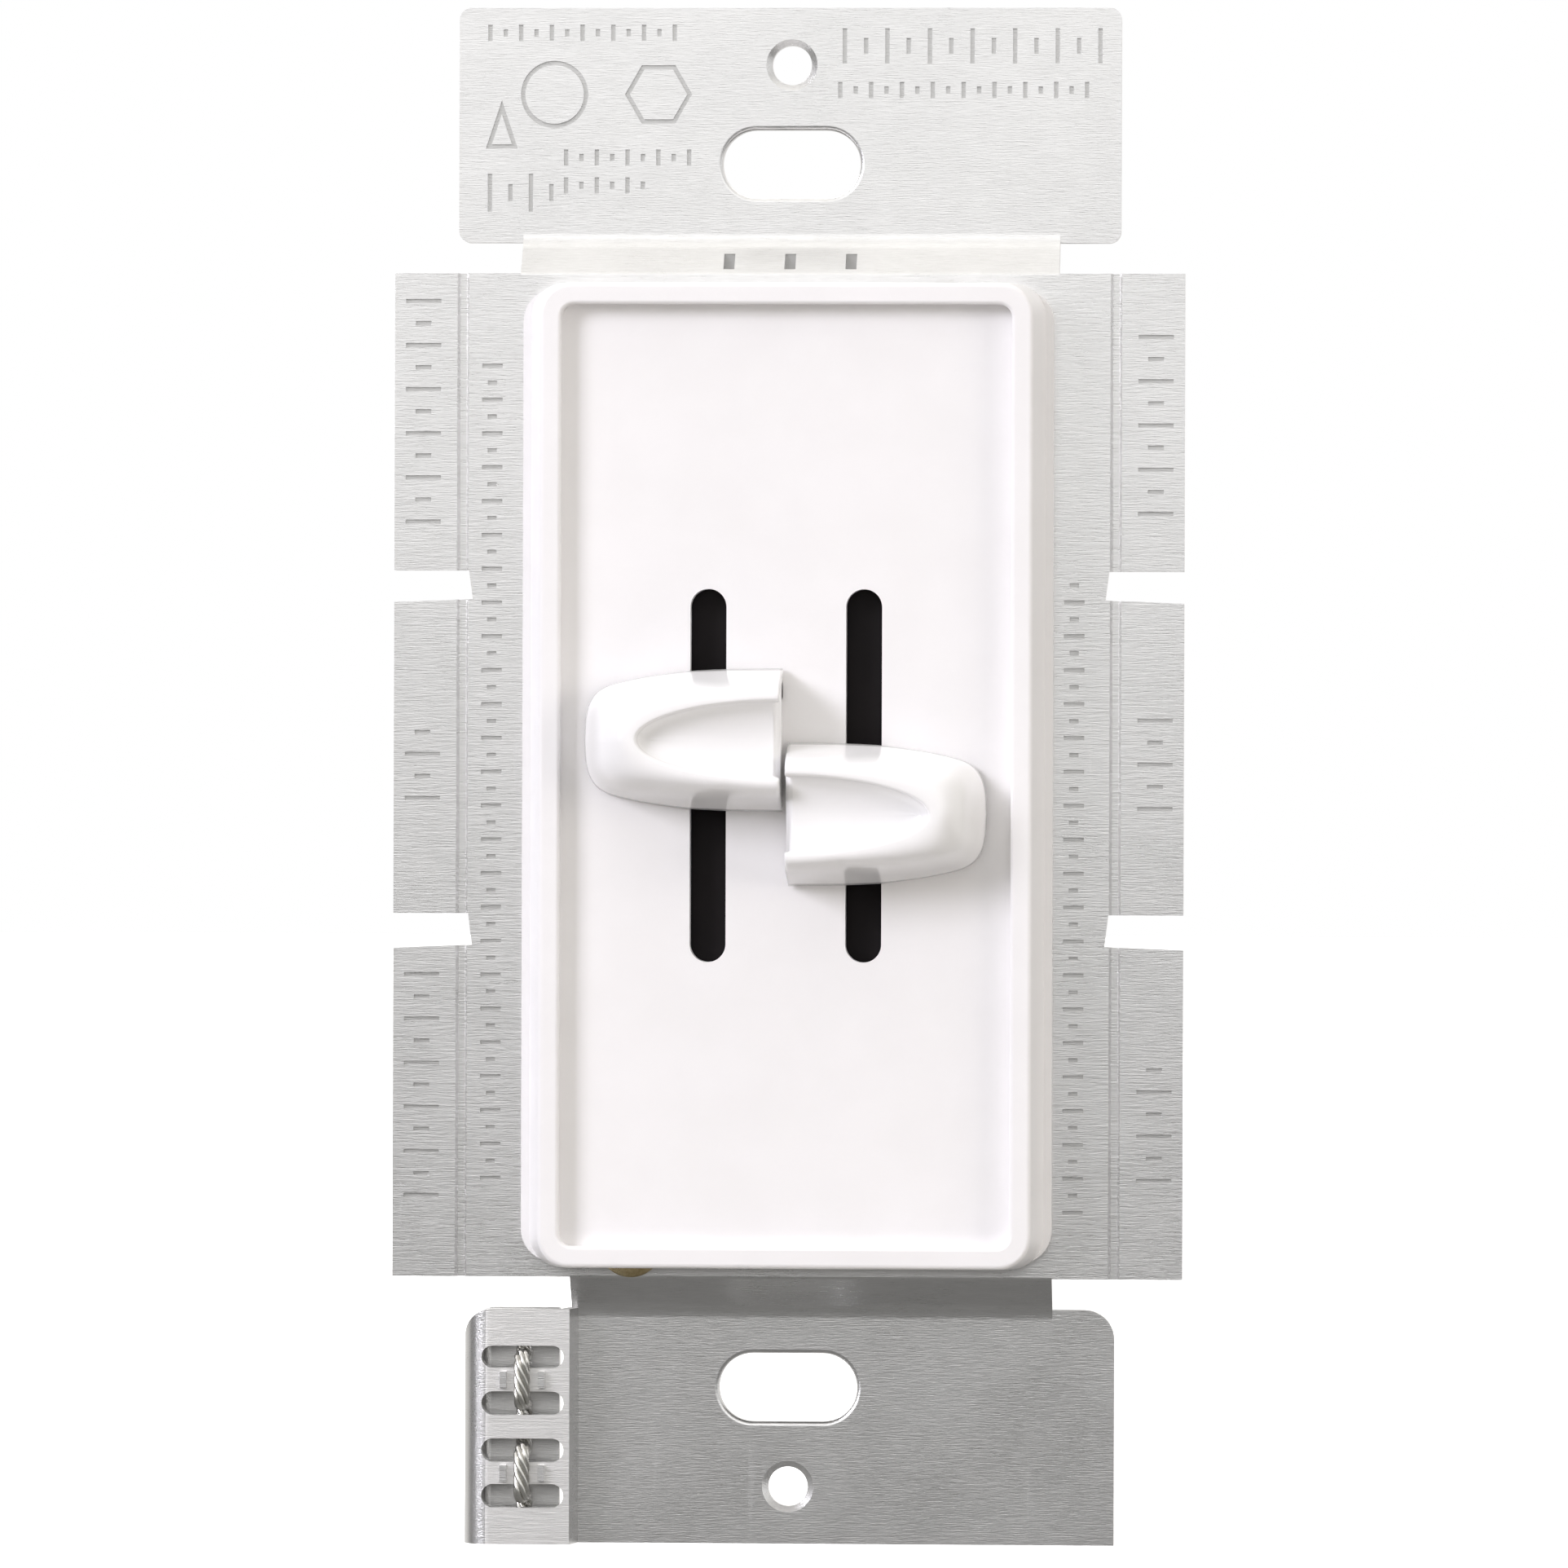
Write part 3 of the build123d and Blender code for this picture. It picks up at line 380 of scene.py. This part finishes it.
def store_painted_light(mesh):
    """Store the painted light on each face, found by its place: above 0 painted shade, below 0
    painted sheen.
    """
    count = len(mesh.polygons)
    centres, normals = np.empty(count * 3), np.empty(count * 3)
    mesh.polygons.foreach_get("center", centres)
    mesh.polygons.foreach_get("normal", normals)
    x, depth, z = centres.reshape(-1, 3).T / MM
    outward = normals[1::3] < FACES_ROOM
    # painted shade on the fold of the hem on the lower ear
    tarnish_and_painted_light = np.where((x < FOLD_X) & (z < EAR_Z), FOLD_PAINTED_SHADE, 0.0)
    for face_y, right, top, value in PAINTED_LIGHT_FACES:
        tarnish_and_painted_light[outward & (abs(depth - face_y) < DEPTH_PLAY) & (x < right) & (z < top)] = value
    mesh.attributes.new("painted_shade_and_sheen", "FLOAT", "FACE").data.foreach_set("value", tarnish_and_painted_light)


def softened(node, slot, body, width):
    """A copy of a CAD node with merged points, flat faces joined and its edges rolled
    to a radius of at most width mm, standing for the node."""
    name = f"{node}_soft"
    mesh = frame["nodes"][node].data.copy()
    mesh.name = name
    work = bmesh.new()
    work.from_mesh(mesh)
    bmesh.ops.remove_doubles(work, verts=work.verts, dist=SAME_PLACE * MM)
    bmesh.ops.dissolve_limit(
        work, angle_limit=FLAT_ANGLE, verts=work.verts, edges=work.edges
    )
    bmesh.ops.recalc_face_normals(work, faces=work.faces)
    work.to_mesh(mesh)
    work.free()
    if "custom_normal" in mesh.attributes:
        mesh.attributes.remove(mesh.attributes["custom_normal"])
    store_painted_light(mesh)
    mesh.shade_smooth()
    mesh.set_sharp_from_angle(angle=SHARP_ANGLE)
    piece = add_object(name, mesh)
    bevel = piece.modifiers.new("edge", "BEVEL")
    bevel.limit_method = "ANGLE"
    bevel.angle_limit = SHARP_ANGLE
    bevel.width = width * MM
    bevel.segments = EDGE_SEGMENTS
    bevel.use_clamp_overlap = True
    flat = piece.modifiers.new("flat_faces", "WEIGHTED_NORMAL")
    flat.mode = "FACE_AREA"
    flat.weight = FLAT_WEIGHT
    flat.keep_sharp = True
    dress(piece, slot)
    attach(piece, body)
    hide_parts(node)


softened("mounting_strap", "strap_aluminium", "housing", 0.10)
softened("bezel", "bezel_white", "housing", 0.12)
softened("back_cover", "cover_black", "housing", 0.25)

LACE_CENTRES = (-39.55, -42.7, -45.9, -49.0)   # the slots the wire passes through
LACE_ROUND = 1.5                 # length over which the path's corners are rounded
STRANDS = 7
STRAND_R = 0.19
STRAND_SIDES = 10
LAY_PITCH = 5.2
WIRE_ROWS = 420


def laced_wire():
    """Seven twisted strands. Each strand is a round tube whose centre circles the
    laced path at a fixed radius, one turn every lay pitch; one runs up the middle."""
    low, high = (np.array(c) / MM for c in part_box("ground_wire"))
    radius = (high[0] - low[0]) / 2
    x = (low[0] + high[0]) / 2
    behind, before = high[1] - radius, low[1] + radius
    corners = [(behind, high[2])]
    for i, z in enumerate(LACE_CENTRES):
        levels = (behind, before) if i % 2 == 0 else (before, behind)
        corners += [(levels[0], z), (levels[1], z)]
    corners.append((behind, low[2]))
    path = rounded(np.array(corners), LACE_ROUND, WIRE_ROWS)
    tangent = np.gradient(path, axis=0)
    tangent /= np.linalg.norm(tangent, axis=1)[:, None]
    travelled = np.r_[0, np.cumsum(np.linalg.norm(np.diff(path, axis=0), axis=1))]
    across = np.array([1.0, 0, 0])
    up = np.stack([np.zeros(len(path)), -tangent[:, 1], tangent[:, 0]], 1)
    centre = np.stack([np.full(len(path), x), path[:, 0], path[:, 1]], 1)
    points, faces = [], []
    turn = 2 * np.pi * np.arange(STRAND_SIDES + 1) / STRAND_SIDES
    for strand in range(STRANDS):
        angle = 2 * np.pi * (strand / (STRANDS - 1) + travelled / LAY_PITCH)
        out = 0.0 if strand == STRANDS - 1 else radius - STRAND_R
        middle = centre + out * (np.cos(angle)[:, None] * across + np.sin(angle)[:, None] * up)
        tube = middle[:, None, :] + STRAND_R * (
            np.cos(turn)[None, :, None] * across + np.sin(turn)[None, :, None] * up[:, None, :]
        )
        first = sum(len(p) for p in points)
        points.append(tube.reshape(-1, 3))
        faces += grid_faces(len(path), STRAND_SIDES + 1, first)
        last = first + (len(path) - 1) * (STRAND_SIDES + 1)
        faces += [list(range(end, end + STRAND_SIDES)) for end in (first, last)]
    mesh_piece("laced_wire", np.concatenate(points) * MM, faces,
               "bare_wire", "housing", "ground_wire")


laced_wire()

KNOB_OUTLINE = (         # distance out from the flat end, half width there
    (0, 4.85), (4.0, 4.8), (6.4, 4.68), (9.5, 4.25), (11.3, 3.85),
    (12.4, 3.5), (13.0, 2.9), (13.4, 1.9), (13.5, 0),
)
OUTLINE_ROUND = 1.6
SCOOP_LONG = 9.6
SCOOP_HALF = 2.58
SCOOP_DEEP = 1.55
SCOOP_MIDDLE = 0.9       # of the rim's reach that the scoop's middle line takes
SCOOP_FAR = 0.35         # of the depth that is left at the far end
SCOOP_POWERS = (2.2, 0.6)
SCOOP_CROWDING = 1.4     # the rows of points crowd towards the rim by this power
STEP_BACK = 0.38         # the scooped part of the flat end stands back this far
STEP_FADE = 1.2          # length over which the step runs out
STEP_MARGIN = 0.06       # the step ends this far inside the scoop's half width
STEP_SHARP = 0.015       # width over which it ends
LIP_WIDE = 0.45
LIP_FALL = 0.22
FLANK_SHARE = 0.72       # of the width outside the lip that the leaning flank takes
FLANK_LEAN = 1.75
SHOULDER = 0.30          # of the flank that the rounded shoulder takes
SHOULDER_TIP = 0.65      # the same at the outer end
SHOULDER_CROWN = 0.8     # of the crown that the shoulder takes
STATIONS = 60            # sections along the outline
RIM_POINTS = 400         # points on the rim before it is divided into stations
FLANK_ROWS, SHOULDER_ROWS, CROWN_ROWS, FALL_ROWS, SCOOP_ROWS, FOOT_ROWS = 7, 17, 4, 5, 18, 6


def thumb_tab(side_name, side):
    """A thumb tab. Across: a straight leaning flank, a round shoulder, a lip and an
    elliptical scoop, at every place along half of a rounded outline; the other half mirrors
    it. With r from 0 at the scoop's middle line to 1 at its rim, its depth falls off as
    1 - r to the first of its powers, all to the second."""
    low, high = (np.array(c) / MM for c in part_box(f"slider_knob_{side_name}"))
    start = low[0] if side > 0 else -high[0]
    base, crown = high[1], low[1]
    rise = base - crown
    middle = (low[2] + high[2]) / 2
    outline = rounded(np.array(KNOB_OUTLINE, float), OUTLINE_ROUND, STATIONS)
    outline[:, 0] *= (high[0] - low[0]) / outline[:, 0].max()
    outline[-1, 1] = 0
    outline[0, 0] = 0
    turn = np.linspace(np.pi / 2, 0, RIM_POINTS)
    ellipse = np.stack([SCOOP_LONG * np.cos(turn), SCOOP_HALF * np.sin(turn)], 1)
    rim = along(ellipse, STATIONS)
    rim[0, 0] = rim[-1, 1] = 0
    centre = np.stack([rim[:, 0] * SCOOP_MIDDLE, np.zeros(STATIONS)], 1)
    gap = np.linalg.norm(rim - outline, axis=1)

    # the section from the base edge to the rim, as (distance in, height) for each station:
    # a straight flank, a quadratic curve round the shoulder, a flat crown and the lip's fall
    lean = (FLANK_SHARE * (gap - LIP_WIDE)).clip(max=FLANK_LEAN)
    end = gap - LIP_WIDE / 2
    tip = ((gap - gap[0]) / (gap[-1] - gap[0])).clip(0, 1)
    share = SHOULDER + (SHOULDER_TIP - SHOULDER) * tip
    start_in, start_up = lean * (1 - share), rise * (1 - share)
    stop_in = lean + (end - lean) * SHOULDER_CROWN
    flank = np.linspace(0, 1, FLANK_ROWS)[None, :-1]
    bend = np.linspace(0, 1, SHOULDER_ROWS)[None, :]
    crown_part = np.linspace(0, 1, CROWN_ROWS)[None, 1:]
    fall = np.linspace(0, 1, FALL_ROWS)[None, 1:]
    shoulder_in = (
        (1 - bend) ** 2 * start_in[:, None]
        + 2 * bend * (1 - bend) * lean[:, None]
        + bend**2 * stop_in[:, None]
    )
    part_in = (
        start_in[:, None] * flank,
        shoulder_in,
        stop_in[:, None] + (end - stop_in)[:, None] * crown_part,
        end[:, None] + LIP_WIDE / 2 * fall,
    )
    part_up = (
        start_up[:, None] * flank,
        (1 - bend) ** 2 * start_up[:, None] + (1 - (1 - bend) ** 2) * rise,
        rise + 0 * crown_part,
        rise - LIP_FALL * fall**2,
    )
    inward = np.concatenate(part_in, 1)
    upward = np.concatenate(
        [np.broadcast_to(up, reach.shape) for up, reach in zip(part_up, part_in)], 1
    )
    way = (rim - outline) / gap[:, None]
    shell = outline[:, None, :] + inward[..., None] * way[:, None, :]
    # the scoop, from the rim to its middle line
    r = 1 - np.linspace(0, 1, SCOOP_ROWS)[1:] ** SCOOP_CROWDING
    bowl = centre[:, None, :] + r[None, :, None] * (rim - centre)[:, None, :]
    edge = rise - LIP_FALL
    end_fade = np.sqrt((1 - (centre[:, 0] / SCOOP_LONG) ** 2).clip(0))
    far_deep = SCOOP_FAR + (1 - SCOOP_FAR) * end_fade
    inner, outer = SCOOP_POWERS
    deep = (SCOOP_DEEP - LIP_FALL) * far_deep[:, None] * (1 - r[None, :] ** inner) ** outer
    bowl_up = edge - deep
    # underneath, from the base's middle line out to its edge
    under = np.linspace(0, 1, FOOT_ROWS)[:-1]
    foot = centre[:, None, :] + under[None, :, None] * (outline - centre)[:, None, :]
    plan = np.concatenate([foot, shell, bowl], 1)
    height = np.concatenate([np.zeros(foot.shape[:2]), upward, bowl_up], 1)

    x, z = plan[..., 0].copy(), plan[..., 1]
    inside = 1 / (1 + np.exp(-(SCOOP_HALF - STEP_MARGIN - z) / STEP_SHARP))
    x += STEP_BACK * inside * np.exp(-x / STEP_FADE)
    full_x = np.concatenate([x, x[::-1]])
    full_z = np.concatenate([z, -z[::-1]])
    full_h = np.concatenate([height, height[::-1]])
    rows, columns = full_x.shape
    points = np.stack([side * (full_x + start), base - full_h, middle + full_z], -1)
    faces = grid_faces(rows, columns)
    first, last = range(columns), range((rows - 1) * columns, rows * columns)
    faces.append([*first, *reversed(last)])
    mesh_piece(f"thumb_tab_{side_name}", points.reshape(-1, 3) * MM, faces,
               "knob_white", f"slider_{side_name}", f"slider_knob_{side_name}")


for side_name, side in (("left", -1), ("right", 1)):
    thumb_tab(side_name, side)


# ---------------------------------------------------------------- camera, light and stage
def aim(thing, place, target, roll=0.0):
    """Put a camera or light at a place, looking at a target."""
    toward = (Vector(target) - Vector(place)).to_track_quat("-Z", "Y").to_matrix().to_4x4()
    turned = Matrix.Rotation(math.radians(roll), 4, "Z")
    thing.matrix_world = Matrix.Translation(place) @ toward @ turned


IMAGE_WIDE = 1924                # pixels across the finished picture
AZIMUTH = math.radians(3.0)
REACH = 0.75                     # from the camera to its target, in metres
TARGET = Vector((-0.30, -3.0, -0.56)) * MM
PIXELS_PER_MM = 18.06            # at the target
ROLL = 0.18
view = bpy.data.cameras.new("view")
view.sensor_width = 36
view.lens = PIXELS_PER_MM * (REACH / MM) * view.sensor_width / IMAGE_WIDE
view.clip_start = 0.01
camera = add_object("view", view)
away = Vector((math.sin(AZIMUTH), -math.cos(AZIMUTH), 0)) * REACH
aim(camera, TARGET + away, TARGET, ROLL)
bpy.context.scene.camera = camera
bpy.context.scene.view_settings.view_transform = "Standard"


WHITE = (1.0, 1.0, 1.0)
COOL = (0.86, 0.85, 0.93)
WARM = (1.0, 0.939, 0.883)


def softbox(name, place, target, width, height, watts, tint=WHITE, diffuse=True, glossy=True):
    """A rectangular studio light, which the camera does not see."""
    light = bpy.data.lights.new(name, "AREA")
    light.shape = "RECTANGLE"
    light.size = width
    light.size_y = height
    light.energy = watts
    light.color = tint
    panel = add_object(name, light)
    aim(panel, place, target)
    panel.visible_camera = False
    panel.visible_diffuse = diffuse
    panel.visible_glossy = glossy


softbox("key", (-0.80, -0.68, 0.42), (0, 0, 0), 0.40, 0.40, 9.8, COOL)
softbox("wide_fill", (0.1, -1.0, 0.1), (0, 0, 0), 5.0, 4.0, 5.8, WARM, glossy=False)
softbox("right_fill", (1.1, -0.5, 0.1), (0, 0, 0), 0.5, 0.5, 4.8, WARM, glossy=False)
softbox("low_fill", (0.0, -0.6, -1.1), (0, 0, 0), 0.8, 0.8, 3.4, WARM, glossy=False)
softbox("side_card", (1.1, -0.05, 0.1), (0, 0, 0), 0.8, 0.8, 1.6, diffuse=False)
softbox("sheen_card", (0.0, -0.40, 0.147), (0, 0, 0.147), 1.2, 0.32, 1.08, diffuse=False)
softbox("back", (-0.5, 0.9, 0.7), (0, 0, 0), 0.6, 0.6, 6.0)

LIGHT_BELOW = 0.20
LIGHT_ABOVE = 1.27
LIGHT_BEHIND = 0.65      # added towards the pale wall behind
RISE_SPAN = (0.1, 1.0)   # Z of the directions over which the light grows
REAR_SPAN = (0.1, 0.6)   # Y of the directions over which the light behind is added
ROOM_TINT = (1.0, 0.985, 0.955, 1)


def surround():
    """The room: white to the camera; as light dim below, bright above and bright behind."""
    world = bpy.data.worlds.new("surround")
    world.use_nodes = True
    tree = world.node_tree
    new = tree.nodes.new
    way, split = new("ShaderNodeTexCoord"), new("ShaderNodeSeparateXYZ")
    total = new("ShaderNodeMath")
    rise, rear = new("ShaderNodeMapRange"), new("ShaderNodeMapRange")
    seen, ray = new("ShaderNodeBackground"), new("ShaderNodeLightPath")
    pick = new("ShaderNodeMixShader")
    room = tree.nodes["Background"]
    for node, limits in (
        (rise, (*RISE_SPAN, LIGHT_BELOW, LIGHT_ABOVE)),
        (rear, (*REAR_SPAN, 0, LIGHT_BEHIND)),
    ):
        node.interpolation_type = "SMOOTHSTEP"
        for key, value in zip(("From Min", "From Max", "To Min", "To Max"), limits):
            node.inputs[key].default_value = value
    seen.inputs["Color"].default_value = (1, 1, 1, 1)
    room.inputs["Color"].default_value = ROOM_TINT
    for source, target in (
        (way.outputs["Generated"], split.inputs[0]),
        (split.outputs["Z"], rise.inputs["Value"]),
        (split.outputs["Y"], rear.inputs["Value"]),
        (rise.outputs[0], total.inputs[0]),
        (rear.outputs[0], total.inputs[1]),
        (total.outputs[0], room.inputs["Strength"]),
        (ray.outputs["Is Camera Ray"], pick.inputs["Fac"]),
        (room.outputs[0], pick.inputs[1]),
        (seen.outputs[0], pick.inputs[2]),
        (pick.outputs[0], tree.nodes["World Output"].inputs["Surface"]),
    ):
        tree.links.new(source, target)
    bpy.context.scene.world = world


surround()

FLOOR_HALF = 3.0         # metres
PAPER_GLOW = 0.75
floor_mesh = bpy.data.meshes.new("floor")
floor_corners = [
    (FLOOR_HALF * x, FLOOR_HALF * y, cad_box[0].z)
    for x, y in ((-1, -1), (1, -1), (1, 1), (-1, 1))
]
floor_mesh.from_pydata(floor_corners, [], [(0, 1, 2, 3)])
floor = add_object("floor", floor_mesh)
paper = Finish("pale_paper", Roughness=0.9)
floor_mesh.materials.append(paper.set(Base_Color=(0.8, 0.8, 0.8), Emission_Color=(1, 1, 1)))
paper.shader.inputs["Emission Strength"].default_value = PAPER_GLOW
floor.visible_diffuse = False
floor.visible_glossy = False
